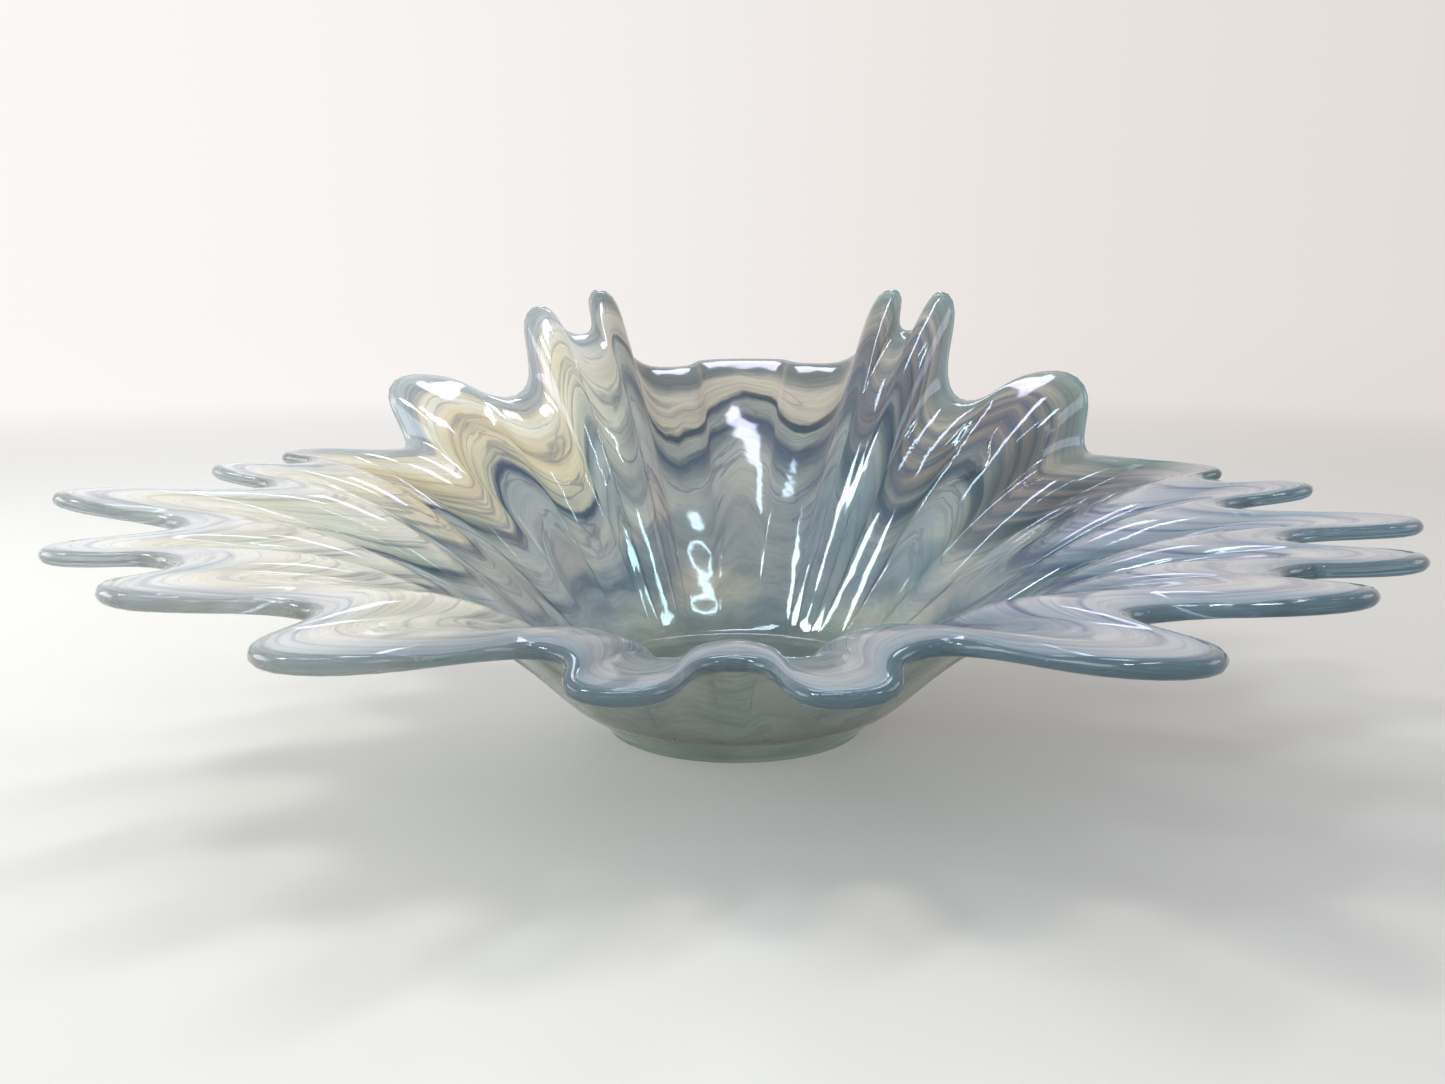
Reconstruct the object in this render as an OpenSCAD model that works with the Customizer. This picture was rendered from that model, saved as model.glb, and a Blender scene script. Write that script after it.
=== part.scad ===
// Art glass centrepiece bowl: a fluted bowl spun out into twenty-one drawn fingers, on a small solid foot.
// The glass is built up in gathers: a clear inner casing, a thin opal layer with trails of coloured glass
// laid round it, and a clear outer casing that is folded round the lip. The layers meet face to face.
// Millimetres, +Z up, the front is -Y. The origin is the centre of the foot's resting face.

/* [Bowl] */
// Distance from the axis to the tip of the longest finger
reach = 205; // [175:1:230]
// Height of the tallest finger above the table
height = 148; // [135:1:160]
// Thickness of the wall out to the lip
wall = 4; // [3.5:0.5:6]
// Thickness of the floor above the foot
floor_thickness = 10; // [8:0.5:12]
// How far the wall has leant out before it starts to rise, as a share of the way to the lip
floor_ease = 0.03; // [0.01:0.01:0.05]
// How steeply the wall rises on average, where 1 is a straight cone
curl = 1.9; // [1.7:0.1:2.1]
// How much more steeply it rises at the front than at the sides, and less at the back
curl_swing = 0.5; // [0.3:0.1:0.6]
// How far the bed of a finger lies below the folds beside it
flute_depth = 3; // [0:0.5:4]
// How square the fingers and the notches between them are
squareness = 0.75; // [0.5:0.05:0.85]
// How fast the pleats that lead to the fingers die away towards the floor
calm = 0.8; // [0.3:0.1:0.9]

/* [Foot] */
// Radius of the flat resting face
foot_radius = 43; // [38:1:47]
// Radius of the foot's top, where the bowl starts to flare
foot_top_radius = 50; // [48:1:56]
// Height of the foot
foot_height = 8; // [6:0.5:10]
// Radius of the rounded bottom edge
foot_edge = 1.5; // [0.5:0.5:2.5]

/* [Layers] */
// Share of the wall that is inner casing
inner_share = 0.3; // [0.2:0.05:0.4]
// Share of the wall that is the opal layer and its trails
opal_share = 0.3; // [0.2:0.05:0.4]
// Where the sage trail starts on the way from the floor to the lip
sage_at = 0.10; // [0.08:0.01:0.12]
// Where the slate trail starts
slate_at = 0.28; // [0.26:0.01:0.30]
// Where the navy trail starts
navy_at = 0.46; // [0.44:0.01:0.48]
// Where the amber trail starts
amber_at = 0.66; // [0.64:0.01:0.70]
// How wide the amber trail is
wide_trail = 0.14; // [0.1:0.01:0.16]
// How wide each of the other trails is
narrow_trail = 0.08; // [0.05:0.01:0.1]

/* [Hidden] */

// Fingers, going round from the front by way of the left: angle in degrees, reach and height in percent of
// the longest and the tallest, and slimness (below 0 is a broad lobe).
fingers = [
    [ 10,  76, 36,  0.04],
    [ 28,  96, 45, -0.05],
    [ 44,  98, 50,  0.08],
    [ 60,  99, 51,  0.10],
    [ 77, 100, 56,  0.08],
    [ 95,  86, 57,  0.08],
    [111,  87, 57,  0.05],
    [129,  82, 75, -0.10],
    [149,  79, 94,  0.18],
    [159,  82, 99,  0.20],
    [181,  88, 78, -0.05],
    [204,  82, 99,  0.20],
    [212,  80, 98,  0.20],
    [230,  83, 76, -0.10],
    [249,  93, 53,  0.05],
    [266,  94, 53,  0.08],
    [283, 100, 51,  0.08],
    [300,  98, 50,  0.10],
    [316,  98, 50,  0.08],
    [332,  97, 45, -0.05],
    [351,  76, 36,  0.04],
];

// The notch that follows each finger: angle, reach and height, as above.
notches = [
    [ 20, 67, 39],
    [ 36, 81, 46],
    [ 53, 86, 50],
    [ 69, 82, 51],
    [ 86, 73, 54],
    [103, 76, 56],
    [119, 71, 57],
    [139, 69, 69],
    [154, 73, 86],
    [168, 78, 76],
    [194, 80, 77],
    [208, 76, 87],
    [221, 70, 68],
    [240, 78, 55],
    [258, 84, 52],
    [274, 76, 50],
    [292, 81, 49],
    [308, 84, 48],
    [325, 78, 45],
    [340, 68, 40],
    [360, 60, 36],
];

// Steps from the tip of a finger (0) to the notch beside it (1).
steps = [0, 0.25, 0.6, 1];

// How far the calm wall stands beyond the line through the notches: reach and height in percent.
calm_reach = 7;
calm_height = 3;

half = len(steps) - 1;
columns = len(fingers) * 2 * half;

// Rows from the floor (0) to the lip (1): each trail lies between two of them.
near_lip = (1 + amber_at + wide_trail) / 2;
rows = [0, sage_at, sage_at + narrow_trail, slate_at, slate_at + narrow_trail,
        navy_at, navy_at + narrow_trail, amber_at, amber_at + wide_trail, near_lip, 1];
last = len(rows) - 1;

// Part of the way over which the floor thins to the wall, and over which the wall turns square to itself.
thinning = 0.25;
turning = 0.2;
step_out = 0.01;

// Levels through the wall, from 1 at the inner face to -1 at the outer one.
inside = 1;
under_inner = 1 - 2 * inner_share;
under_opal = under_inner - 2 * opal_share;
outside = -1;

start_height = foot_height + floor_thickness / 2;
lip_angles = [-60, 0, 60];

// One point of the rim for column i counted from the first notch, as [angle, reach, height, fingerness,
// calm reach, calm height].
function rim(i) =
    let (column = (i + columns) % columns,
         f = floor(column / (2 * half)),
         side = column % (2 * half) - half,
         tip = fingers[f],
         before = notches[(f + len(notches) - 1) % len(notches)],
         beside = side < 0 ? before : notches[f],
         beside_angle = side < 0 && f == 0 ? beside[0] - 360 : beside[0],
         w = steps[abs(side)],
         between = before + (notches[f] - before) * (1 + sign(side) * w) / 2,
         swing = w + squareness * sin(360 * w) / (2 * PI) - tip[3] * sin(180 * w),
         fingerness = (1 + cos(180 * w)) / 2)
    [tip[0] + (beside_angle - tip[0]) * swing,
     (beside[1] + (tip[1] - beside[1]) * fingerness) * reach / 100,
     (beside[2] + (tip[2] - beside[2]) * fingerness) * height / 100,
     fingerness,
     (between[1] + calm_reach) * reach / 100,
     (between[2] + calm_height) * height / 100];

rims = [for (i = [0:columns - 1]) rim(i)];
function rim_at(i) = rims[(i + columns) % columns];

// The middle of the wall at column i, part t of the way from the floor to the lip. The wall leaves the
// floor steeply and levels out; it stays straighter at the back, where the fingers stand up. It is calm at
// the floor, and its pleats grow towards the rim.
function middle(i, t) =
    let (p = rim_at(i),
         pleat = pow(t, calm),
         rim_r = p[4] + (p[1] - p[4]) * pleat,
         rim_z = p[5] + (p[2] - p[5]) * pleat,
         r = foot_top_radius + (rim_r - foot_top_radius) * t,
         eased = t - floor_ease * (1 - exp(-t / floor_ease)),
         rise = 1 - pow(1 - eased, curl + curl_swing * cos(p[0])),
         flute = flute_depth * (p[3] - 1 / 2) * pow(t, 3 / 2) * (1 - pow(t, 4)))
    [-r * sin(p[0]), -r * cos(p[0]), start_height + (rim_z - start_height) * rise - flute];

function unit(v) = v / norm(v);
function along(i, t) = middle(i + 1, t) - middle(i - 1, t);
function outward(i, t) = middle(i, t + step_out) - middle(i, t);

// The wall's own direction through its thickness: straight up at the floor, square to the wall beyond it.
function across(i, t) =
    t <= 0 ? [0, 0, 1]
    : let (square = unit(cross(along(i, t), outward(i, min(t, 1 - step_out)))), share = min(1, t / turning))
      unit([0, 0, 1 - share] + square * share);

function half_thickness(t) =
    wall / 2 + (floor_thickness - wall) / 2 * pow(max(0, 1 - t / thinning), 2);

function point(i, t, level) = middle(i, t) + across(i, t) * half_thickness(t) * level;

// The rounded lip beyond the end of the wall.
function lip_point(i, angle) =
    let (up = across(i, 1), out = unit(cross(up, along(i, 1))))
    middle(i, 1) + wall / 2 * (up * sin(angle) + out * cos(angle));

function ring(t, level) = [for (i = [0:columns - 1]) point(i, t, level)];
function lip_ring(angle) = [for (i = [0:columns - 1]) lip_point(i, angle)];

// The band of quads between ring a and the next one, each cut into two triangles. Bodies that meet have the
// same quads, so a back band is cut along the other diagonal, which is the same line in space.
function band(a, b, back) = [
    for (i = [0:columns - 1])
        let (j = (i + 1) % columns, a0 = a * columns, b0 = b * columns)
        for (face = back ? [[a0 + i, a0 + j, b0 + i], [a0 + j, b0 + j, b0 + i]]
                         : [[a0 + i, b0 + j, b0 + i], [a0 + i, a0 + j, b0 + j]]) face];

function cap(a, reversed) =
    [[for (i = [0:columns - 1]) a * columns + (reversed ? columns - 1 - i : i)]];

// A closed body whose rings run out along one face and back along the other: a disc-like one ends in two
// flat caps, and a hoop closes on itself.
module disc_body(out_rings, back_rings) {
    count = len(out_rings) + len(back_rings);
    polyhedron(points = [for (r = concat(out_rings, back_rings)) each r],
               faces = [for (k = [0:count - 2]) each band(k, k + 1, k >= len(out_rings)),
                        each cap(0, true), each cap(count - 1, false)],
               convexity = 12);
}

module hoop_body(out_rings, back_rings) {
    count = len(out_rings) + len(back_rings);
    polyhedron(points = [for (r = concat(out_rings, back_rings)) each r],
               faces = [for (k = [0:count - 1]) each band(k, (k + 1) % count, k >= len(out_rings))],
               convexity = 12);
}

// The part of the opal layer's thickness between two rows.
module hoop(from, to)
    hoop_body([for (k = [from:to]) ring(rows[k], under_opal)],
              [for (k = [to:-1:from]) ring(rows[k], under_inner)]);

module foot() {
    color([0.62, 0.72, 0.66])
        rotate_extrude($fn = 120)
            polygon([[0, 0], [foot_radius - foot_edge, 0],
                     for (a = [15:15:75]) [foot_radius - foot_edge * (1 - sin(a)), foot_edge * (1 - cos(a))],
                     [foot_radius, foot_edge], [foot_top_radius, foot_height], [0, foot_height]]);
}

module outer_casing() {
    color([0.80, 0.88, 0.88])
        disc_body([for (k = [0:last]) ring(rows[k], outside), for (angle = lip_angles) lip_ring(angle)],
                  [ring(1, inside), ring(1, under_inner),
                   for (k = [last:-1:0]) ring(rows[k], under_opal)]);
}

module opal_layer() {
    color([0.90, 0.90, 0.92]) {
        disc_body([ring(rows[0], under_opal), ring(rows[1], under_opal)],
                  [ring(rows[1], under_inner), ring(rows[0], under_inner)]);
        hoop(2, 3);
        hoop(4, 5);
        hoop(6, 7);
        hoop(8, last);
    }
}

module sage_trail() { color([0.55, 0.65, 0.58]) hoop(1, 2); }

module slate_trail() { color([0.45, 0.55, 0.66]) hoop(3, 4); }

module navy_trail() { color([0.22, 0.30, 0.48]) hoop(5, 6); }

module amber_trail() { color([0.80, 0.72, 0.55]) hoop(7, 8); }

module inner_casing() {
    color([0.88, 0.92, 0.96])
        disc_body([for (k = [0:last]) ring(rows[k], under_inner)],
                  [for (k = [last:-1:0]) ring(rows[k], inside)]);
}

foot();
outer_casing();
opal_layer();
sage_trail();
slate_trail();
navy_trail();
amber_trail();
inner_casing();
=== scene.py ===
# %% [markdown]
# # An art glass bowl
#
# The bowl is one piece of hot-worked glass. It was spun out until its rim threw twenty-one fingers, and it
# stands on a small solid foot. Milky opal glass with streaks of slate, navy, sage and amber lies between two
# clear casings. This lesson grows the bowl from the rule that the CAD model follows, gives it a cased and
# streaked glass, and lights it softly on a pale floor.

# %% Load the frame
import math

import bpy
from mathutils import Matrix, Vector


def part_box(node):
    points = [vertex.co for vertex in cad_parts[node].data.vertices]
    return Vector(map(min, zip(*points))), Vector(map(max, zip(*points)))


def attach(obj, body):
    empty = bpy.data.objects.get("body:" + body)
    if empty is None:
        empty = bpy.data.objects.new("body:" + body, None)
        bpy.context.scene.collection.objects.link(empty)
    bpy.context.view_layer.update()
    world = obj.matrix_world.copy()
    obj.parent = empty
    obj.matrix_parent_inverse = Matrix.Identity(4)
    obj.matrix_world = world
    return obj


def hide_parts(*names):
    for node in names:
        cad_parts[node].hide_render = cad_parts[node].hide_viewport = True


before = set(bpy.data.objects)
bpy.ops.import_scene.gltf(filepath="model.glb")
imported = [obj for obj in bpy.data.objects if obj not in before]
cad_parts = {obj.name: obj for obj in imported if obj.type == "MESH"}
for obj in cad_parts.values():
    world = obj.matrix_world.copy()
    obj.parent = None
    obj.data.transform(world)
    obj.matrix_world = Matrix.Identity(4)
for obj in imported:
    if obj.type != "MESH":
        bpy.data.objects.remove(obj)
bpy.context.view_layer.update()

# %% [markdown]
# ## Sizes of the glass
#
# The driving sizes are those of the CAD model, in metres. They could be measured off the CAD meshes, but a
# bowl that is grown from the same few numbers can be denser and smoother than the CAD meshes are. Only the
# foot is taken from its CAD node, so that the bowl always starts exactly where the foot ends.

# %% Driving sizes
_, foot_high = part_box("foot")
FOOT_TOP_RADIUS = foot_high.x
FOOT_HEIGHT = foot_high.z
REACH = 0.205
HEIGHT = 0.148
WALL = 0.004
FLOOR_THICKNESS = 0.010
FLUTE_DEPTH = 0.003
START_HEIGHT = FOOT_HEIGHT + FLOOR_THICKNESS / 2
print("foot", round(2000 * FOOT_TOP_RADIUS), "mm wide at its top and", round(1000 * FOOT_HEIGHT), "mm high")

# %% Sizes without a unit
SQUARENESS = 0.75
CURL, CURL_SWING = 1.9, 0.5
CALM, CALM_REACH, CALM_HEIGHT = 0.8, 0.07, 0.03
EASE = 0.03
THINNING, TURNING = 0.25, 0.2
print("the wall curls to the power", CURL - CURL_SWING, "at the back and", CURL + CURL_SWING, "at the front")

# %% [markdown]
# ## The fingers
#
# A glassblower's fingers are each a little different, so they are the one thing that is listed and not
# computed. Random numbers would give a rim of the same kind, but not this bowl, with its low front, its long
# level sides and the two pairs of tall horns at the back.

# %% Fingers and notches
# Fingers, from the front round by the left: angle in degrees, reach and height in percent, slimness.
FINGERS = [
    (10, 76, 36, 0.04), (28, 96, 45, -0.05), (44, 98, 50, 0.08), (60, 99, 51, 0.10), (77, 100, 56, 0.08),
    (95, 86, 57, 0.08), (111, 87, 57, 0.05), (129, 82, 75, -0.10), (149, 79, 94, 0.18), (159, 82, 99, 0.20),
    (181, 88, 78, -0.05), (204, 82, 99, 0.20), (212, 80, 98, 0.20), (230, 83, 76, -0.10),
    (249, 93, 53, 0.05), (266, 94, 53, 0.08), (283, 100, 51, 0.08), (300, 98, 50, 0.10), (316, 98, 50, 0.08),
    (332, 97, 45, -0.05), (351, 76, 36, 0.04),
]
# The notch after each finger: angle, reach, height.
NOTCHES = [
    (20, 67, 39), (36, 81, 46), (53, 86, 50), (69, 82, 51), (86, 73, 54), (103, 76, 56), (119, 71, 57),
    (139, 69, 69), (154, 73, 86), (168, 78, 76), (194, 80, 77), (208, 76, 87), (221, 70, 68),
    (240, 78, 55), (258, 84, 52), (274, 76, 50), (292, 81, 49), (308, 84, 48), (325, 78, 45),
    (340, 68, 40), (360, 60, 36),
]
COUNT = len(FINGERS)
print(COUNT, "fingers, tallest", round(1000 * HEIGHT), "mm, longest", round(1000 * REACH), "mm from the axis")

# %% [markdown]
# ## Writing node trees as expressions
#
# A node tree is easier to read as arithmetic than as a diagram. `Value` wraps one socket, and each operator
# on it adds a Math node to the same tree, so `1 - mask * 2` is two nodes. The same class serves the geometry
# and the materials.


# %% The value of a socket
def operator(operation):
    return lambda self, other: self.math(operation, other)


class Value:
    def __init__(self, tree, socket):
        self.tree, self.socket = tree, socket

    def math(self, operation, *others):
        return self.tree.node("ShaderNodeMath", {"operation": operation}, dict(enumerate([self, *others])))

    __add__ = __radd__ = operator("ADD")
    __mul__ = __rmul__ = operator("MULTIPLY")
    __sub__ = operator("SUBTRACT")
    __truediv__ = operator("DIVIDE")
    __pow__ = operator("POWER")

    def __neg__(self):
        return self * -1

    def __rsub__(self, other):
        return -self + other

    def clamp(self, low=0.0, high=1.0):
        return self.math("MAXIMUM", low).math("MINIMUM", high)

    def hump(self, width):
        """1 where this value is 0, fading evenly on both sides."""
        return ((self / width) ** 2 * -1).math("EXPONENT")

    def output(self, name):
        """Another output of the node that this value comes from."""
        return Value(self.tree, self.socket.node.outputs[name])

    def ease(self, low, high, start=0.0, end=1.0):
        """Goes smoothly from start to end as this value goes from low to high."""
        return self.tree.node("ShaderNodeMapRange", {"interpolation_type": "SMOOTHSTEP"},
                              {"Value": self, "From Min": low, "From Max": high,
                               "To Min": start, "To Max": end})


print("operators ready: + - * / **")

# %% [markdown]
# `Tree.node` makes any other node. Its settings are set first, because some of them change which sockets the
# node has, and then the sockets get numbers or links.


# %% The tree that the nodes go into
class Tree:
    def __init__(self, tree):
        self.tree = tree

    def node(self, kind, settings=None, sockets=None, output=0):
        made = self.tree.nodes.new(kind)
        for name, value in (settings or {}).items():
            if name == "stops":
                fill_ramp(made.color_ramp, value)
            else:
                setattr(made, name, value)
        for name, value in (sockets or {}).items():
            socket = made.inputs[name]
            if isinstance(value, Value):
                self.tree.links.new(value.socket, socket)
            else:
                is_colour = socket.type == "RGBA" and len(value) == 3
                socket.default_value = (*value, 1) if is_colour else value
        return Value(self, made.outputs[output]) if len(made.outputs) else made

    def vector(self, operation, *sockets, output=0, scale=None):
        values = dict(enumerate(sockets))
        if scale is not None:
            values["Scale"] = scale
        return self.node("ShaderNodeVectorMath", {"operation": operation}, values, output)

    def combine(self, x=0.0, y=0.0, z=0.0):
        return self.node("ShaderNodeCombineXYZ", None, {"X": x, "Y": y, "Z": z})

    def noise(self, vector, scale, detail=3.0, roughness=0.5, distortion=0.0):
        return self.node("ShaderNodeTexNoise", {"noise_dimensions": "3D"},
                         {"Vector": vector, "Scale": scale, "Detail": detail, "Roughness": roughness,
                          "Distortion": distortion})


def fill_ramp(ramp, stops):
    ramp.elements[0].position, ramp.elements[-1].position = stops[0][0], stops[-1][0]
    for place, _ in stops[1:-1]:
        ramp.elements.new(place)
    for element, (place, colour) in zip(ramp.elements, stops):
        element.position, element.color = place, (*colour, 1)


print("tree helper ready")

# %% [markdown]
# ## The guide for the rim
#
# A node tree can't read a Python list. So the fingers go onto a small guide mesh, one vertex for each finger,
# with the finger's numbers and those of the notch after it as named attributes. The tree reads them by index.
# The alternative, a separate node for each number, would make a tree that nobody can read.


# %% The rim guide
def rim_guide():
    mesh = bpy.data.meshes.new("rim_guide")
    turns = [math.radians(finger[0]) for finger in FINGERS]
    mesh.from_pydata([(-REACH * math.sin(a), -REACH * math.cos(a), HEIGHT / 2) for a in turns], [], [])
    columns = {
        "tip_angle": [finger[0] for finger in FINGERS],
        "tip_reach": [finger[1] / 100 for finger in FINGERS],
        "tip_height": [finger[2] / 100 for finger in FINGERS],
        "slimness": [finger[3] for finger in FINGERS],
        "notch_angle": [notch[0] for notch in NOTCHES],
        "notch_reach": [notch[1] / 100 for notch in NOTCHES],
        "notch_height": [notch[2] / 100 for notch in NOTCHES],
    }
    for name, values in columns.items():
        mesh.attributes.new(name, "FLOAT", "POINT").data.foreach_set("value", values)
    guide = bpy.data.objects.new("rim_guide", mesh)
    bpy.context.scene.collection.objects.link(guide)
    guide.hide_render = guide.hide_viewport = True
    return guide


guide = rim_guide()
print("guide with", len(guide.data.vertices), "fingers and", len(guide.data.attributes), "attributes")

# %% [markdown]
# ## One point of the rim
#
# `rim point` takes a place along the rim, counted in fingers, and mixes the finger's tip with the notch
# beside it. Squareness flattens the sides of every finger at once, and slimness makes one finger narrower
# than its notches. The group also gives the calm line through the notches, which the wall follows low down.


# %% Helpers for node groups
def new_group(name, inputs, outputs):
    group = bpy.data.node_groups.new(name, "GeometryNodeTree")
    for direction, sockets in (("INPUT", inputs), ("OUTPUT", outputs)):
        for socket, kind in sockets.items():
            group.interface.new_socket(socket, in_out=direction, socket_type="NodeSocket" + kind)
    tree = Tree(group)
    entry = group.nodes.new("NodeGroupInput")
    given = {name: Value(tree, entry.outputs[name]) for name in inputs}
    return group, tree, given


def finish_group(tree, results):
    tree.node("NodeGroupOutput", None, results)


def sampled(tree, guides, name, index):
    field = tree.node("GeometryNodeInputNamedAttribute", {"data_type": "FLOAT"}, {"Name": name})
    return tree.node("GeometryNodeSampleIndex", {"data_type": "FLOAT", "domain": "POINT"},
                     {"Geometry": guides, "Value": field, "Index": index})


print("group helpers ready")


# %% The rim point group
def rim_point_group():
    group, tree, given = new_group(
        "rim point", {"Guides": "Geometry", "Place": "Float", "Squareness": "Float"},
        {"Angle": "Float", "Reach": "Float", "Height": "Float", "Fingerness": "Float", "Fold": "Float",
         "Calm reach": "Float", "Calm height": "Float"})
    guides = given["Guides"]
    place = given["Place"] - (given["Place"] / COUNT).math("FLOOR") * COUNT
    finger = place.math("FLOOR").clamp(0, COUNT - 1)
    side = (place - finger) * 2 - 1
    before = side.math("LESS_THAN", 0)
    is_first = (1 - finger).math("GREATER_THAN", 0.5)
    previous = finger - 1 + is_first * COUNT
    beside = finger - before + before * is_first * COUNT
    fold = side.math("ABSOLUTE").clamp()
    tip = {name: sampled(tree, guides, "tip_" + name, finger) for name in ("angle", "reach", "height")}
    notch = {name: sampled(tree, guides, "notch_" + name, beside) for name in ("angle", "reach", "height")}
    calm = {}
    for name, extra in (("reach", CALM_REACH), ("height", CALM_HEIGHT)):
        first, second = (sampled(tree, guides, "notch_" + name, index) for index in (previous, finger))
        calm[name] = first + (second - first) * (side + 1) / 2 + extra
    swing = (fold + given["Squareness"] * (fold * (2 * math.pi)).math("SINE") / (2 * math.pi)
             - sampled(tree, guides, "slimness", finger) * (fold * math.pi).math("SINE"))
    fingerness = ((fold * math.pi).math("COSINE") + 1) / 2
    notch_angle = notch["angle"] - before * is_first * 360
    finish_group(tree, {
        "Angle": (tip["angle"] + (notch_angle - tip["angle"]) * swing) * (math.pi / 180),
        "Reach": notch["reach"] + (tip["reach"] - notch["reach"]) * fingerness,
        "Height": notch["height"] + (tip["height"] - notch["height"]) * fingerness,
        "Fingerness": fingerness,
        "Fold": fold,
        "Calm reach": calm["reach"],
        "Calm height": calm["height"],
    })
    return group


rim_point = rim_point_group()
print(rim_point.name, "group with", len(rim_point.nodes), "nodes")

# %% [markdown]
# ## The middle of the wall
#
# Hot glass that is spun out rises steeply from the foot and then levels, more at the front than at the back.
# `wall middle` walks that curve from the floor (0) to the lip (1). The pleats start at nothing and grow
# towards the rim, and a shallow flute runs along the bed of each finger. A swept profile would be simpler,
# but no two sections of this bowl are the same.


# %% The wall middle group
def wall_middle_group():
    group, tree, given = new_group(
        "wall middle",
        {"Guides": "Geometry", "Place": "Float", "Way": "Float", "Reach": "Float", "Height": "Float",
         "Foot radius": "Float", "Start height": "Float", "Flute depth": "Float", "Squareness": "Float"},
        {"Position": "Vector"})
    rim = tree.node("GeometryNodeGroup", {"node_tree": rim_point},
                    {name: given[name] for name in ("Guides", "Place", "Squareness")})
    angle, fingerness, way = rim.output("Angle"), rim.output("Fingerness"), given["Way"]
    pleat = way ** CALM
    calm_reach, calm_height = rim.output("Calm reach"), rim.output("Calm height")
    reach = calm_reach + (rim.output("Reach") - calm_reach) * pleat
    height = calm_height + (rim.output("Height") - calm_height) * pleat
    radius = given["Foot radius"] + (reach * given["Reach"] - given["Foot radius"]) * way
    eased = way - EASE * (1 - (way * (-1 / EASE)).math("EXPONENT"))
    rise = 1 - (1 - eased) ** (angle.math("COSINE") * CURL_SWING + CURL)
    flute = given["Flute depth"] * (fingerness - 0.5) * way ** 1.5 * (1 - way ** 4)
    z = given["Start height"] + (height * given["Height"] - given["Start height"]) * rise - flute
    x, y = -radius * angle.math("SINE"), -radius * angle.math("COSINE")
    finish_group(tree, {"Position": tree.combine(x, y, z)})
    return group


wall_middle = wall_middle_group()
print(wall_middle.name, "group with", len(wall_middle.nodes), "nodes")

# %% [markdown]
# ## From a flat grid to a closed wall
#
# The wall is a solid body, so it needs two faces and a rounded lip. One flat grid makes all of it. Its
# columns go round the bowl, and its rows run from the middle of the underside out along the outer face, round
# the lip, and back along the inner face to the middle of the floor. Solidify could thicken a single sheet,
# but it would give the lip a square edge and cross itself in the sharp notches.

# %% Where a grid point lies in the wall
COLUMNS_PER_FINGER = 24
FLOOR_ROWS, WALL_ROWS, LIP_ROWS = 6, 52, 8
ROWS = 2 * (FLOOR_ROWS + WALL_ROWS) + LIP_ROWS


def grid_places(tree):
    """The grid, and for each of its points the place round the rim and the row."""
    grid = tree.node("GeometryNodeMeshGrid", None, {"Size X": 1.0, "Size Y": 1.0, "Vertices Y": ROWS + 1,
                                                    "Vertices X": COUNT * COLUMNS_PER_FINGER + 1})
    where = tree.node("ShaderNodeSeparateXYZ", None, {0: tree.node("GeometryNodeInputPosition")})
    return grid, (where.output("X") + 0.5) * COUNT, (where.output("Y") + 0.5) * ROWS


def wall_places(row):
    """Way from floor to lip, level from outer to inner face, bulge of the lip, and spread of the floor."""
    out_way = ((row - FLOOR_ROWS) / WALL_ROWS).clamp()
    back_way = ((row - (FLOOR_ROWS + WALL_ROWS + LIP_ROWS)) / WALL_ROWS).clamp()
    round_lip = ((row - (FLOOR_ROWS + WALL_ROWS)) / LIP_ROWS).clamp() * math.pi - math.pi / 2
    spread = (row / FLOOR_ROWS).clamp() * ((ROWS - row) / FLOOR_ROWS).clamp()
    return out_way - back_way, round_lip.math("SINE"), round_lip.math("COSINE").clamp(), spread


print("grid of", COUNT * COLUMNS_PER_FINGER, "columns and", ROWS, "rows")

# %% [markdown]
# Each grid point finds the middle of the wall and steps across it by half the wall's thickness. The step's
# direction comes from neighbouring points of the same rule: straight up at the floor, and square to the wall
# beyond it.

# %% The wall's own directions
STEP_ROUND, STEP_OUT = 0.04, 0.01


def wall_directions(tree, middle, place, way):
    """The wall's direction through its thickness, and its direction outwards past the lip."""
    inner_way = way.clamp(0.0, 1 - STEP_OUT)
    along = tree.vector("SUBTRACT", middle(place + STEP_ROUND, way), middle(place - STEP_ROUND, way))
    outward = tree.vector("SUBTRACT", middle(place, inner_way + STEP_OUT), middle(place, inner_way))
    square = tree.vector("NORMALIZE", tree.vector("CROSS_PRODUCT", along, outward))
    share = (way / TURNING).clamp()
    across = tree.vector("NORMALIZE", tree.vector("ADD", tree.vector("SCALE", square, scale=share),
                                                  tree.combine(0.0, 0.0, 1 - share)))
    return across, tree.vector("NORMALIZE", tree.vector("CROSS_PRODUCT", across, along))


print("directions ready")

# %% [markdown]
# ## What the hand leaves behind
#
# A bowl from a rule alone looks pressed. Real folds lean a little to one side and the other, the crests
# between the fingers are pinched into low ribs, and the surface has slow waves where the glass cooled. All
# three are real geometry, not bump, because they bend the long highlights that make glass look like glass.

# %% Leaning folds, ribs and waves
SWAY = 1.6
RIB_HEIGHT = 0.0003
RIB_WIDTH = 0.12
RIPPLE = 0.0008
RIPPLE_SCALE = 28.0


def leaning(tree, place, way, sway):
    circle = place * (2 * math.pi / COUNT)
    around = tree.combine(circle.math("SINE") * 3, circle.math("COSINE") * 3, way * 2.5)
    lean = tree.noise(around, 1.0, 1.0) - 0.5
    return place + lean * sway * way.ease(0.0, 0.4) * way.ease(0.6, 1.0, 1.0, 0.0)


def rib(height, fold, way, level):
    along_the_fold = way.ease(0.3, 0.6) * way.ease(0.85, 1.0, 1.0, 0.0)
    return height * (1 - fold).hump(RIB_WIDTH) * along_the_fold * level.clamp()


def waves(tree, position, way, depth):
    return (tree.noise(position, RIPPLE_SCALE, 2.0) - 0.5) * depth * way.ease(0.02, 0.2)


print("ribs of", 1000 * RIB_HEIGHT, "mm and waves of up to", 1000 * RIPPLE / 2, "mm")

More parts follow.
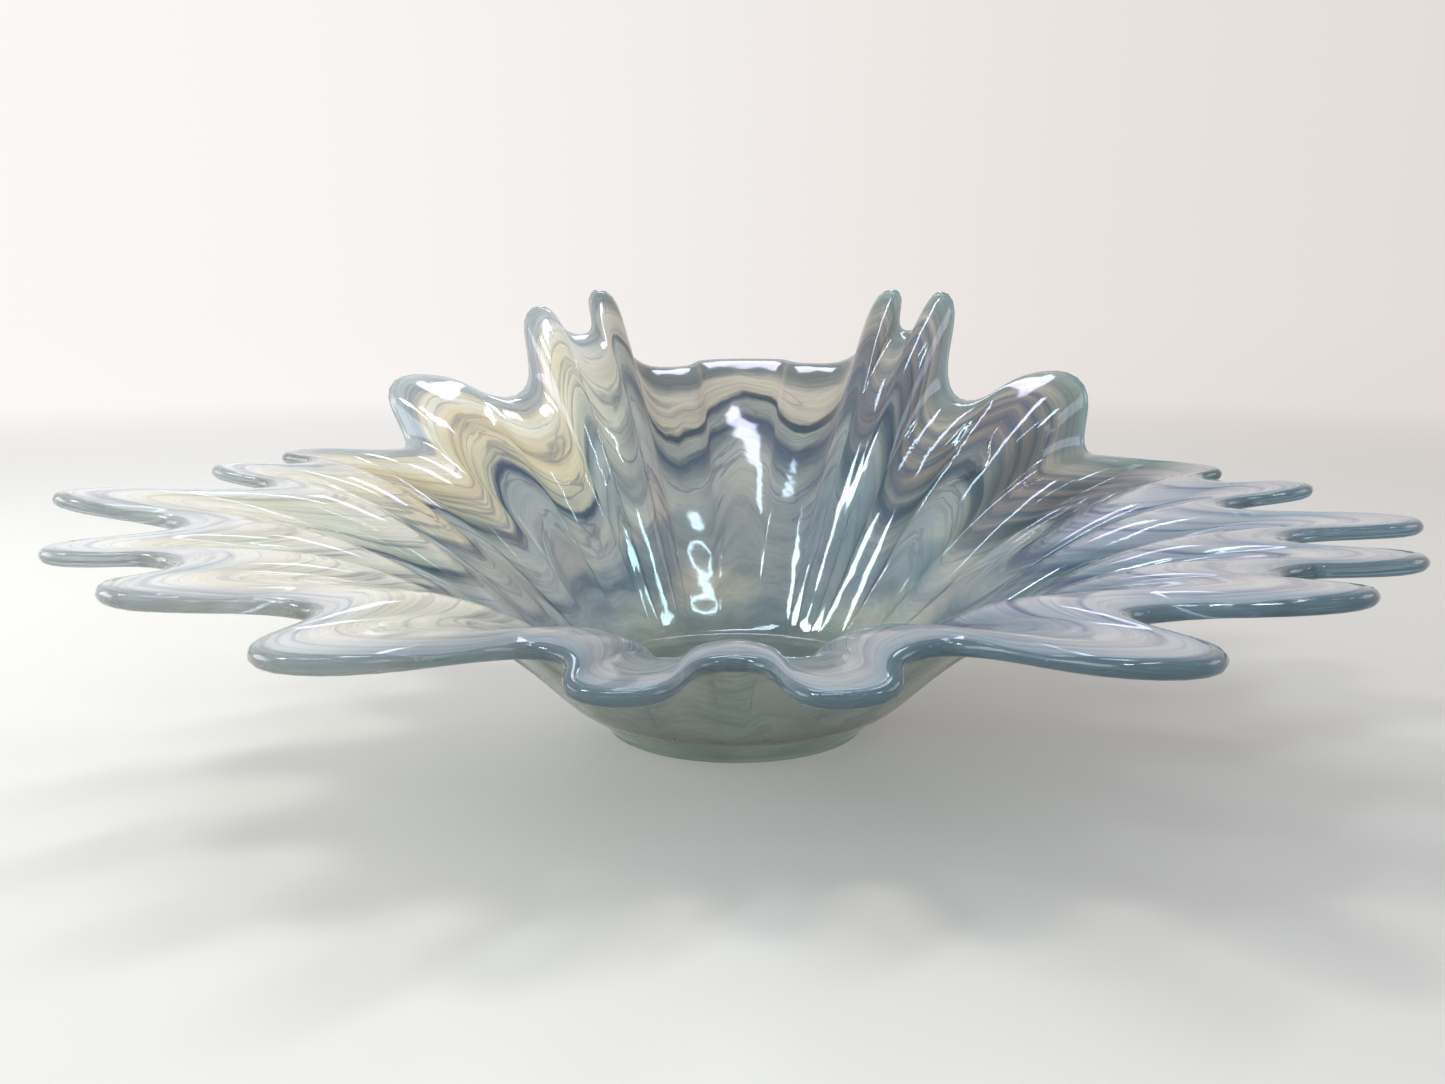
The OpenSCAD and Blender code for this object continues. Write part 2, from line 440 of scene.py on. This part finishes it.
# %% [markdown]
# ## The bowl's own tree
#
# The parts above come together here. Three attributes stay on the mesh for the glass to read: `way` and
# `fold` tell where a point lies on its finger, and `level` tells the inner face from the outer one. A fourth,
# `round`, holds the direction round the bowl as a sine and a cosine, which have no seam. At the end the seam
# and the two poles are merged, so the mesh has no open edge. Where the folds bunch the columns closer than
# the merge distance, neighbours are joined as well, which leaves a few edges with four faces.

# %% The bowl tree
MERGE_DISTANCE = 0.00001


def marked_grid(tree, grid, marks, round_way):
    for name, value in marks.items():
        grid = tree.node("GeometryNodeStoreNamedAttribute", {"data_type": "FLOAT", "domain": "POINT"},
                         {"Geometry": grid, "Name": name, "Value": value})
    return tree.node("GeometryNodeStoreNamedAttribute", {"data_type": "FLOAT_VECTOR", "domain": "POINT"},
                     {"Geometry": grid, "Name": "round", "Value": round_way})


def closed_wall(tree, shaped, material):
    facing_out = tree.node("GeometryNodeFlipFaces", None, {"Mesh": shaped})
    closed = tree.node("GeometryNodeMergeByDistance", None,
                       {"Geometry": facing_out, "Distance": MERGE_DISTANCE})
    smooth = tree.node("GeometryNodeSetShadeSmooth", None, {"Geometry": closed})
    real = tree.node("GeometryNodeRealizeInstances", None, {"Geometry": smooth})
    return tree.node("GeometryNodeSetMaterial", None, {"Geometry": real, "Material": material})


def bowl_tree(material):
    group, tree, given = new_group(
        "bowl", {"Geometry": "Geometry", "Guide": "Object", "Reach": "Float", "Height": "Float",
                 "Wall": "Float", "Floor thickness": "Float", "Foot radius": "Float", "Start height": "Float",
                 "Flute depth": "Float", "Squareness": "Float", "Rib height": "Float", "Ripple": "Float",
                 "Sway": "Float"}, {"Geometry": "Geometry"})
    grid, place, row = grid_places(tree)
    way, level, beyond, spread = wall_places(row)
    place = leaning(tree, place, way, given["Sway"])
    guides = tree.node("GeometryNodeObjectInfo", None, {"Object": given["Guide"]}).output("Geometry")

    def middle(place_at, way_at):
        sockets = {name: given[name] for name in ("Reach", "Height", "Foot radius", "Start height",
                                                  "Flute depth", "Squareness")}
        return tree.node("GeometryNodeGroup", {"node_tree": wall_middle},
                         {"Guides": guides, "Place": place_at, "Way": way_at, **sockets})

    across, out = wall_directions(tree, middle, place, way)
    rim = tree.node("GeometryNodeGroup", {"node_tree": rim_point},
                    {"Guides": guides, "Place": place, "Squareness": given["Squareness"]})
    fold, turn = rim.output("Fold"), rim.output("Angle")
    base = tree.vector("MULTIPLY", middle(place, way), tree.combine(spread, spread, 1.0))
    thicker = (given["Floor thickness"] - given["Wall"]) / 2 * (1 - way / THINNING).clamp() ** 2
    half = given["Wall"] / 2 + thicker
    through = (half * level + rib(given["Rib height"], fold, way, level)
               + waves(tree, base, way, given["Ripple"]))
    step = tree.vector("ADD", tree.vector("SCALE", across, scale=through),
                       tree.vector("SCALE", out, scale=half * beyond))
    round_way = tree.combine(turn.math("SINE"), turn.math("COSINE"), way)
    marked = marked_grid(tree, grid, {"way": way, "fold": fold, "level": level}, round_way)
    shaped = tree.node("GeometryNodeSetPosition", None,
                       {"Geometry": marked, "Position": tree.vector("ADD", base, step)})
    finish_group(tree, {"Geometry": closed_wall(tree, shaped, material)})
    return group


print("bowl tree ready")

# %% [markdown]
# ## Running the tree
#
# The tree runs once, as a modifier on an empty mesh. A modifier's input is set by its socket's identifier,
# because names may repeat. `new_from_object` then keeps the result as a plain mesh, which can be measured and
# exported, where a live modifier would have to be run again each time.


# %% Grow the bowl as a plain mesh
def set_inputs(modifier, values):
    for item in modifier.node_group.interface.items_tree:
        if item.in_out == "INPUT" and item.name in values:
            modifier[item.identifier] = values[item.name]


def grow_bowl(material):
    """Runs the bowl's tree on an empty mesh and keeps the result as a plain mesh."""
    seed = bpy.data.objects.new("bowl_seed", bpy.data.meshes.new("bowl_seed"))
    bpy.context.scene.collection.objects.link(seed)
    modifier = seed.modifiers.new("bowl", "NODES")
    modifier.node_group = bowl_tree(material)
    set_inputs(modifier, {"Guide": guide, "Reach": REACH, "Height": HEIGHT, "Wall": WALL,
                          "Floor thickness": FLOOR_THICKNESS, "Foot radius": FOOT_TOP_RADIUS,
                          "Start height": START_HEIGHT, "Flute depth": FLUTE_DEPTH, "Squareness": SQUARENESS,
                          "Rib height": RIB_HEIGHT, "Ripple": RIPPLE, "Sway": SWAY})
    bpy.context.view_layer.update()
    evaluated = seed.evaluated_get(bpy.context.evaluated_depsgraph_get())
    mesh = bpy.data.meshes.new_from_object(evaluated)
    mesh.name = "bowl"
    bpy.data.objects.remove(seed)
    bowl = bpy.data.objects.new("bowl", mesh)
    bpy.context.scene.collection.objects.link(bowl)
    return bowl


print("grow_bowl(material) is ready for its glass")

# %% [markdown]
# ## The colours in the glass
#
# The blower rolled the first gather over bars of coloured glass, so the colours run round the bowl as bands,
# from the floor out to the lip. A colour ramp holds the bands of one part of the bowl, with each stop at its
# part of the way to the lip. Painting the mesh would be quicker once, but a ramp can be read and changed.

# %% Glass colours
SAGE, PALE_SAGE = (0.24, 0.32, 0.29), (0.42, 0.48, 0.44)
SLATE, NAVY = (0.40, 0.45, 0.46), (0.07, 0.11, 0.17)
CREAM, TAN, TAUPE = (0.86, 0.85, 0.75), (0.80, 0.72, 0.53), (0.55, 0.51, 0.44)
SMOKE = (0.12, 0.16, 0.24)
print("eight colours of glass")

# %% Bands on the left, creamy and pale
LEFT_BANDS = [
    (0.00, SAGE), (0.06, PALE_SAGE), (0.11, (0.44, 0.48, 0.48)), (0.15, (0.16, 0.22, 0.28)),
    (0.18, (0.10, 0.15, 0.22)), (0.21, (0.40, 0.46, 0.49)), (0.27, (0.52, 0.57, 0.59)),
    (0.335, (0.55, 0.60, 0.60)), (0.355, NAVY), (0.37, NAVY), (0.395, (0.54, 0.59, 0.52)), (0.50, CREAM),
    (0.68, CREAM), (0.75, (0.78, 0.76, 0.64)), (0.82, (0.88, 0.88, 0.84)), (0.87, (0.84, 0.85, 0.84)),
    (0.885, (0.42, 0.50, 0.58)), (0.905, (0.74, 0.77, 0.80)), (1.00, (0.70, 0.75, 0.75)),
]
print(len(LEFT_BANDS), "stops on the left")

# %% Bands on the right, lilac and blue
RIGHT_BANDS = [
    (0.00, SAGE), (0.12, (0.32, 0.38, 0.36)), (0.22, (0.15, 0.21, 0.25)), (0.27, (0.30, 0.37, 0.36)),
    (0.36, (0.26, 0.32, 0.33)), (0.42, (0.08, 0.12, 0.20)), (0.44, (0.10, 0.15, 0.24)),
    (0.47, (0.24, 0.33, 0.39)), (0.56, (0.33, 0.39, 0.47)), (0.62, (0.42, 0.46, 0.54)),
    (0.64, (0.15, 0.20, 0.34)), (0.66, (0.43, 0.48, 0.54)), (0.76, (0.53, 0.56, 0.60)),
    (0.83, (0.38, 0.44, 0.52)), (0.85, (0.22, 0.28, 0.40)), (0.87, (0.46, 0.51, 0.57)),
    (0.93, (0.40, 0.47, 0.53)), (1.00, (0.26, 0.35, 0.42)),
]
print(len(RIGHT_BANDS), "stops on the right")

# %% Bands at the front, grey-green
FRONT_BANDS = [
    (0.00, SAGE), (0.20, (0.27, 0.34, 0.33)), (0.40, (0.32, 0.39, 0.40)), (0.60, (0.36, 0.42, 0.43)),
    (0.74, (0.38, 0.44, 0.45)), (0.78, (0.24, 0.31, 0.36)), (0.81, (0.40, 0.45, 0.47)),
    (0.90, (0.30, 0.39, 0.43)), (1.00, (0.22, 0.34, 0.41)),
]
print(len(FRONT_BANDS), "stops at the front")

# %% Bands at the back: tan on the left, green in the middle, taupe on the right
TAN_BANDS = [
    (0.00, SAGE), (0.08, PALE_SAGE), (0.15, (0.38, 0.43, 0.44)), (0.18, (0.15, 0.20, 0.25)), (0.22, SLATE),
    (0.32, (0.47, 0.52, 0.52)), (0.38, (0.36, 0.41, 0.43)), (0.40, NAVY), (0.415, NAVY),
    (0.44, (0.56, 0.56, 0.45)), (0.54, TAN), (0.62, (0.66, 0.59, 0.43)), (0.66, TAN), (0.76, CREAM),
    (0.81, (0.80, 0.74, 0.58)), (0.86, (0.50, 0.52, 0.49)), (0.93, (0.44, 0.48, 0.49)),
    (1.00, (0.48, 0.54, 0.56)),
]
BACK_BANDS = [
    (0.00, SAGE), (0.08, (0.34, 0.38, 0.35)), (0.18, TAUPE), (0.28, (0.57, 0.53, 0.48)),
    (0.34, (0.52, 0.53, 0.50)), (0.42, (0.47, 0.49, 0.46)), (0.48, (0.22, 0.26, 0.27)), (0.53, NAVY),
    (0.56, (0.34, 0.37, 0.34)), (0.60, (0.40, 0.43, 0.39)), (0.62, (0.07, 0.10, 0.12)),
    (0.64, (0.07, 0.10, 0.12)), (0.66, (0.56, 0.52, 0.44)), (0.78, (0.60, 0.56, 0.48)),
    (0.83, (0.26, 0.29, 0.27)), (0.88, (0.17, 0.21, 0.19)), (1.00, (0.22, 0.27, 0.25)),
]
TAUPE_BANDS = [
    (0.00, SAGE), (0.12, PALE_SAGE), (0.24, (0.30, 0.38, 0.42)), (0.34, (0.36, 0.40, 0.39)),
    (0.40, (0.08, 0.12, 0.15)), (0.44, (0.08, 0.12, 0.15)), (0.47, (0.27, 0.28, 0.28)),
    (0.51, (0.12, 0.15, 0.19)), (0.55, (0.30, 0.27, 0.24)), (0.59, (0.11, 0.13, 0.17)),
    (0.63, (0.32, 0.29, 0.25)), (0.67, (0.13, 0.15, 0.19)), (0.72, (0.34, 0.32, 0.27)),
    (0.76, (0.14, 0.17, 0.20)), (0.81, (0.48, 0.45, 0.38)), (0.88, (0.24, 0.29, 0.27)),
    (1.00, (0.28, 0.35, 0.32)),
]
print(len(TAN_BANDS) + len(BACK_BANDS) + len(TAUPE_BANDS), "stops at the back")

# %% [markdown]
# ## Helpers for the materials
#
# Shaders read the attributes that the bowl's tree left on the mesh. `toward` tells how much of the wall faces
# a given angle, and it is what lets one part of the bowl melt into the next.


# %% Material helpers
def new_material(name):
    material = bpy.data.materials.new(name)
    material.use_nodes = True
    material.node_tree.nodes.clear()
    return material, Tree(material.node_tree)


def attribute(tree, name, output="Fac"):
    return tree.node("ShaderNodeAttribute", {"attribute_name": name}, None, output)


def mix_colour(tree, share, first, second, blend="MIX"):
    return tree.node("ShaderNodeMix", {"data_type": "RGBA", "blend_type": blend},
                     {0: share, 6: first, 7: second}, 2)


def ramp(tree, value, stops):
    return tree.node("ShaderNodeValToRGB", {"stops": stops}, {"Fac": value})


def toward(side, front, angle, inner=16, outer=34):
    """1 where the wall faces the angle to within inner degrees, and 0 beyond outer degrees."""
    turned = math.radians(angle)
    facing = side * math.sin(turned) + front * math.cos(turned)
    return facing.ease(math.cos(math.radians(outer)), math.cos(math.radians(inner)))


print("material helpers ready")

# %% [markdown]
# ## Where the bands run
#
# The bands are not neat rings. The blower dragged them outwards where a finger was drawn, and let them sag
# between the fingers. So the colour is looked up at the way to the lip less that drag, plus a slow drift. A
# finer noise, stretched round the bowl, frays the bands into threads.

# %% Drag, drift and fray
DRAG, DRIFT, WOBBLE, FRAY = 0.17, 0.16, 0.06, 0.10
PARTS = [(0, FRONT_BANDS), (124, TAN_BANDS), (181, BACK_BANDS), (228, TAUPE_BANDS)]


def dragged_line(tree, way, fold, side, front, drift):
    drag = (1 - fold).clamp() ** 1.3 * way.ease(0.05, 0.45) * way.ease(0.75, 1.0, 1.0, 0.1) * DRAG
    wobble = tree.noise(tree.combine(side * 9, front * 9, way * 3), 1.0, 2.0) - 0.5
    return way - drag + drift * DRIFT + wobble * WOBBLE * way.ease(0.1, 0.4)


def banded_colour(tree, line, side, front, drift):
    fray = tree.noise(tree.combine(side * 3.2, front * 3.2, line * 16), 1.0, 5.0, 0.6, 0.4) - 0.5
    frayed = line + fray * FRAY
    colour = mix_colour(tree, (side + drift * 0.4).ease(-0.3, 0.3), ramp(tree, frayed, RIGHT_BANDS),
                        ramp(tree, frayed, LEFT_BANDS))
    for angle, bands in PARTS:
        colour = mix_colour(tree, toward(side + drift * 0.3, front, angle), colour, ramp(tree, frayed, bands))
    return colour


print(2 + len(PARTS), "parts of the bowl with bands of their own")

# %% [markdown]
# ## Patches, veins and clouds
#
# Three more things are mixed into the bands. Low on the wall the colours have pooled into dark and taupe
# patches. Thin smoky veins mark where two gathers folded over each other. And the opal glass is cloudy, so
# its brightness varies in fine streaks along the bands. The underside shows only the sage outer gather.

# %% What is mixed into the bands
CLOUD_SHADES = [(0.30, (0.78, 0.79, 0.81)), (0.52, (1.0, 1.0, 1.0)), (0.72, (1.24, 1.23, 1.22))]
UNDER_DARK, UNDER_PALE = (0.30, 0.39, 0.34), (0.46, 0.54, 0.48)
POOL, POOL_SHARE, TAUPE_SHARE = (0.17, 0.24, 0.31), 0.6, 0.5
VEIN_SHARE, VEIN_THINNESS = 0.6, 26


def patched(tree, colour, place, way):
    patch = tree.noise(place, 14.0, 3.0, 0.55, 0.8)
    low_wall = way.ease(0.55, 0.30)
    colour = mix_colour(tree, patch.ease(0.45, 0.62) * low_wall * POOL_SHARE, colour, POOL)
    return mix_colour(tree, patch.ease(0.50, 0.36) * low_wall * TAUPE_SHARE, colour, TAUPE)


def veined(tree, colour, line, side, front, way):
    depth = tree.noise(tree.combine(side * 2.0, front * 2.0, line * 9), 1.0, 3.0, 0.5, 0.8)
    vein = 1 - ((depth - 0.5).math("ABSOLUTE") * VEIN_THINNESS).clamp()
    share = vein * VEIN_SHARE * way.ease(0.1, 0.4) * way.ease(0.5, 0.8, 1.0, 0.6)
    return mix_colour(tree, share, colour, SMOKE)


def clouded(tree, colour, cloud, way, level):
    colour = mix_colour(tree, 1.0, colour, ramp(tree, cloud, CLOUD_SHADES), "MULTIPLY")
    outer_gather = mix_colour(tree, cloud.ease(0.3, 0.7), UNDER_DARK, UNDER_PALE)
    return mix_colour(tree, level.ease(0.2, -0.4) * way.ease(0.80, 0.40), colour, outer_gather)


print("patches, veins and clouds ready")

# %% [markdown]
# ## Milky glass and clear glass
#
# Milky glass hides what is behind it and clear glass does not. The surface is a Mix Shader of two Principled
# shaders: the milky one scatters light under the surface and has the thin lustre that such bowls are fumed
# with, and the clear one shows along the lip, in the floor and in a few windows in the wall. A single shader
# with a varying transmission would look alike here, but the finish would be lost when the model is exported.

# %% The two glasses
LUSTRE = {"Thin Film Thickness": 425.0, "Thin Film IOR": 1.52}
CLEAR_RIGHT, CLEAR_LEFT = (0.22, 0.42, 0.50), (0.70, 0.80, 0.79)


def milky_glass(tree, colour, normal):
    return tree.node("ShaderNodeBsdfPrincipled", None, {
        "Base Color": colour, "Roughness": 0.07, "IOR": 1.45, "Transmission Weight": 0.3,
        "Subsurface Weight": 0.4, "Subsurface Radius": (0.008, 0.008, 0.008), "Subsurface Scale": 1.0,
        "Normal": normal, **LUSTRE})


def clear_glass(tree, colour, lip, side, normal):
    tint = mix_colour(tree, lip, colour, mix_colour(tree, side.ease(-0.4, 0.6), CLEAR_RIGHT, CLEAR_LEFT))
    return tree.node("ShaderNodeBsdfPrincipled", None, {
        "Base Color": tint, "Roughness": 0.04, "IOR": 1.5, "Transmission Weight": 0.9, "Normal": normal})


print("lustre of", LUSTRE["Thin Film Thickness"], "nanometres")

# %% The streaked glass
LIP_CLEAR, WINDOW_CLEAR, FLOOR_CLEAR = 0.7, 0.25, 0.5
LIP_EDGE = (0.980, 0.996)
SLOW_WAVE_SCALE, SLOW_WAVE_STRENGTH, SLOW_WAVE_HEIGHT = 34.0, 0.35, 0.002


def streaked_glass():
    material, tree = new_material("streaked_opal_glass")
    way, fold, level = attribute(tree, "way"), attribute(tree, "fold"), attribute(tree, "level")
    split = tree.node("ShaderNodeSeparateXYZ", None, {0: attribute(tree, "round", "Vector")})
    side, front = split.output("X"), split.output("Y")
    place = tree.node("ShaderNodeTexCoord", None, None, "Object")

    drift = tree.noise(tree.combine(side * 2.4, front * 2.4, way * 1.5), 1.0, 2.0) - 0.5
    line = dragged_line(tree, way, fold, side, front, drift)
    cloud = tree.noise(tree.combine(side * 4, front * 4, line * 30), 1.0, 4.0, 0.65)
    colour = banded_colour(tree, line, side, front, drift)
    colour = patched(tree, colour, place, way)
    colour = veined(tree, colour, line, side, front, way)
    colour = clouded(tree, colour, cloud, way, level)

    lip = way.ease(*LIP_EDGE)
    window, floor = cloud.ease(0.55, 0.66), way.ease(0.10, 0.02)
    clear = (lip * LIP_CLEAR + window * WINDOW_CLEAR + floor * FLOOR_CLEAR).clamp()
    slow_waves = tree.noise(place, SLOW_WAVE_SCALE, 2.0) * (1 - lip)
    normal = tree.node("ShaderNodeBump", None, {
        "Strength": SLOW_WAVE_STRENGTH, "Distance": SLOW_WAVE_HEIGHT, "Height": slow_waves})
    tree.node("ShaderNodeOutputMaterial", None, {"Surface": tree.node("ShaderNodeMixShader", None, {
        0: clear, 1: milky_glass(tree, colour, normal), 2: clear_glass(tree, colour, lip, side, normal)})})
    return material


glass = streaked_glass()
print(glass.name, "with", len(glass.node_tree.nodes), "nodes")

# %% [markdown]
# ## The bowl in its place
#
# The bowl stands for every layer of the CAD wall at once, because in real glass the layers are fused and only
# the two outer faces can be seen.

# %% The bowl
bowl = grow_bowl(glass)
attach(bowl, "root")
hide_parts("outer_casing", "opal_layer", "sage_trail", "slate_trail", "navy_trail", "amber_trail",
            "inner_casing")
print("bowl:", len(bowl.data.polygons), "faces with", [a.name for a in bowl.data.attributes if a.name in
                                                      ("way", "fold", "level", "round")])

# %% [markdown]
# ## The foot
#
# The foot is a separate gather of sage glass, pressed onto the bowl while hot and ground flat below. Its CAD
# shape is already right, with its rounded edge, so it stays and gets a better finish: flat swirls from the
# turning of the pipe. They come from a noise that is squeezed to about a seventh in height.

# %% The foot's glass
SWIRLS = [(0.3, (0.19, 0.29, 0.22)), (0.5, (0.28, 0.38, 0.31)), (0.7, (0.38, 0.48, 0.40))]
SWIRL_SCALE = (18.0, 18.0, 120.0)


def foot_glass():
    material, tree = new_material("sage_foot_glass")
    place = tree.node("ShaderNodeTexCoord", None, None, "Object")
    swirl = tree.noise(tree.vector("MULTIPLY", place, SWIRL_SCALE), 1.0, 4.0, 0.6, 0.6)
    principled = tree.node("ShaderNodeBsdfPrincipled", None, {
        "Base Color": ramp(tree, swirl, SWIRLS), "Roughness": 0.08, "IOR": 1.5, "Transmission Weight": 0.2})
    tree.node("ShaderNodeOutputMaterial", None, {"Surface": principled})
    return material


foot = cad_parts["foot"]
foot.data.materials.clear()
foot.data.materials.append(foot_glass())
print("foot wears", foot.data.materials[0].name)

# %% [markdown]
# ## The room
#
# Glass is mostly what it reflects, so the room matters as much as the material. It is bright behind the bowl
# and on the left, warmer on the right, and dimmer overhead. One function gives the colour of the room in a
# direction. The world uses it, and so does the table, which fades into the room's own colour far off so that
# no horizon shows. Near the bowl a quarter of that glow stays, as a painted fill light that lightens the
# table's shadows. The table's colour is painted light and shade too: lighter on the left, darker on the
# right.

# %% The room's light
NEAR_WHITE, WARM_GREY = (0.97, 0.95, 0.94), (0.76, 0.70, 0.66)
FRONT_GREY, CEILING = (0.84, 0.84, 0.83), (0.48, 0.49, 0.50)


def room_colour(tree, side, back, up):
    wall = mix_colour(tree, side.ease(-0.6, 0.7), NEAR_WHITE, WARM_GREY)
    wall = mix_colour(tree, back.ease(0.1, -0.7), wall, FRONT_GREY)
    return mix_colour(tree, up.ease(0.2, 0.7), wall, CEILING)


world = bpy.data.worlds.new("room")
bpy.context.scene.world = world
world.use_nodes = True
world.node_tree.nodes.clear()
room = Tree(world.node_tree)
direction = room.node("ShaderNodeTexCoord", None, None, "Generated")
facing = room.node("ShaderNodeSeparateXYZ", None, {0: direction})
background = room.node("ShaderNodeBackground", None, {
    "Color": room_colour(room, facing, facing.output("Y"), facing.output("Z")), "Strength": 1.0})
room.node("ShaderNodeOutputWorld", None, {"Surface": background})
print("world:", world.name)

# %% The table
TABLE_RADIUS = 30
# The least share of the table's glow is a painted fill light: near the bowl the table glows with a quarter of
# the room's colour, which lightens the shadows on it.
TABLE_FADE, TABLE_PAINTED_FILL_LIGHT = (0.4, 2.0), 0.25
# Painted light and shade: the table's colour is lighter on the left and darker on the right.
TABLE_PAINTED_LIGHT_LEFT, TABLE_PAINTED_SHADE_RIGHT = (0.73, 0.725, 0.71), (0.54, 0.54, 0.53)


def table_material():
    material, tree = new_material("table_white")
    place = tree.node("ShaderNodeTexCoord", None, None, "Object")
    fade_and_painted_fill = tree.vector("LENGTH", place, output="Value").ease(*TABLE_FADE, TABLE_PAINTED_FILL_LIGHT, 1.0)
    facing = tree.node("ShaderNodeSeparateXYZ", None, {0: tree.vector("NORMALIZE", place)})
    painted = tree.node("ShaderNodeBsdfPrincipled", None, {
        "Base Color": mix_colour(tree, facing.ease(-0.3, 1.0), TABLE_PAINTED_LIGHT_LEFT, TABLE_PAINTED_SHADE_RIGHT),
        "Roughness": 0.5, "Specular IOR Level": 0.2})
    # Emission in the room's colour: a backdrop far off, and a painted fill light near the bowl.
    room_glow_and_painted_fill = tree.node("ShaderNodeEmission", None, {
        "Color": room_colour(tree, facing, facing.output("Y"), facing.output("Z"))})
    tree.node("ShaderNodeOutputMaterial", None, {
        "Surface": tree.node("ShaderNodeMixShader", None, {0: fade_and_painted_fill, 1: painted, 2: room_glow_and_painted_fill})})
    return material


bpy.ops.mesh.primitive_circle_add(vertices=96, radius=TABLE_RADIUS, fill_type="NGON")
table = bpy.context.object
table.name = "table"
table.data.materials.append(table_material())
print("table fades into the room from", TABLE_FADE[0], "to", TABLE_FADE[1], "metres")

# %% [markdown]
# ## The lamps
#
# A smooth glass wall turns each lamp into a highlight of its own shape, so the lamps are few, soft and of
# different shapes: a long one draws a long streak down a finger, and a square one a blob in the well. Each is
# placed by the direction that its highlight needs, and not by what it lights.

# %% Lamps
LAMP_AIM = Vector((0, 0, 0.05))
MINT, WARM, COOL = (0.93, 1.0, 0.98), (1.0, 0.97, 0.88), (0.92, 0.97, 1.0)
SKY, DAYLIGHT = (0.74, 0.87, 1.0), (1.0, 0.99, 0.97)


def softbox(name, direction, distance, size, power, colour=(1, 1, 1), along=(1, 0, 0)):
    """A soft lamp that looks at the bowl from the given direction, with its long side along a vector."""
    light = bpy.data.lights.new(name, "AREA")
    light.shape, light.size, light.size_y = "RECTANGLE", size[0], size[1]
    light.energy, light.color = power, colour
    lamp = bpy.data.objects.new(name, light)
    back = Vector(direction).normalized()
    right = (Vector(along) - Vector(along).dot(back) * back).normalized()
    lamp.matrix_world = Matrix((right, back.cross(right), back)).transposed().to_4x4()
    lamp.location = LAMP_AIM + back * distance
    bpy.context.scene.collection.objects.link(lamp)
    return lamp


lamps = [
    softbox("skylight", (-0.10, 0.19, 0.95), 1.5, (0.80, 0.14), 5, MINT, along=(0.7, 0.7, 0)),
    softbox("ceiling_tube", (0.30, -0.14, 0.93), 1.5, (0.35, 0.03), 0.8),
    softbox("lamp", (-0.54, -0.04, 0.84), 1.4, (0.26, 0.20), 5, WARM),
    softbox("small_window", (0.55, -0.20, 0.81), 1.5, (0.15, 0.12), 1.2, MINT),
    softbox("front_window", (-0.05, -0.72, 0.62), 1.4, (1.6, 0.05), 2.0, COOL),
    softbox("back_window", (0.0, 0.74, 0.67), 1.6, (0.4, 0.25), 2, SKY),
    softbox("left_window", (-1.0, 0.0, 0.40), 1.0, (0.6, 0.4), 3, DAYLIGHT, along=(0, 1, 0)),
    softbox("right_window", (0.9, 0.0, 0.55), 1.1, (0.6, 0.4), 2, DAYLIGHT, along=(0, 1, 0)),
]
print(len(lamps), "lamps")

# %% [markdown]
# ## The camera
#
# The camera stands close and low in front, so that it looks over the low front of the rim into the well and
# the tall horns rise behind it. From closer the front fingers would swell, and from further off the bowl
# would flatten into a line.

# %% Camera
VIEW_DISTANCE, VIEW_ELEVATION = 0.44, 12
AIM_HEIGHT = 0.044
LOOK_DOWN, LOOK_LEFT = 9.69, 0.57
FOCAL_LENGTH, SENSOR_WIDTH = 32.8, 36
lens = bpy.data.cameras.new("camera")
lens.lens, lens.sensor_width = FOCAL_LENGTH, SENSOR_WIDTH
camera = bpy.data.objects.new("camera", lens)
elevation = math.radians(VIEW_ELEVATION)
camera.location = (0, -VIEW_DISTANCE * math.cos(elevation), AIM_HEIGHT + VIEW_DISTANCE * math.sin(elevation))
camera.rotation_euler = (math.radians(90 - LOOK_DOWN), 0, math.radians(LOOK_LEFT))
bpy.context.scene.collection.objects.link(camera)
bpy.context.scene.camera = camera
bpy.context.scene.view_settings.view_transform = "Standard"
print("camera at", [round(value, 3) for value in camera.location])
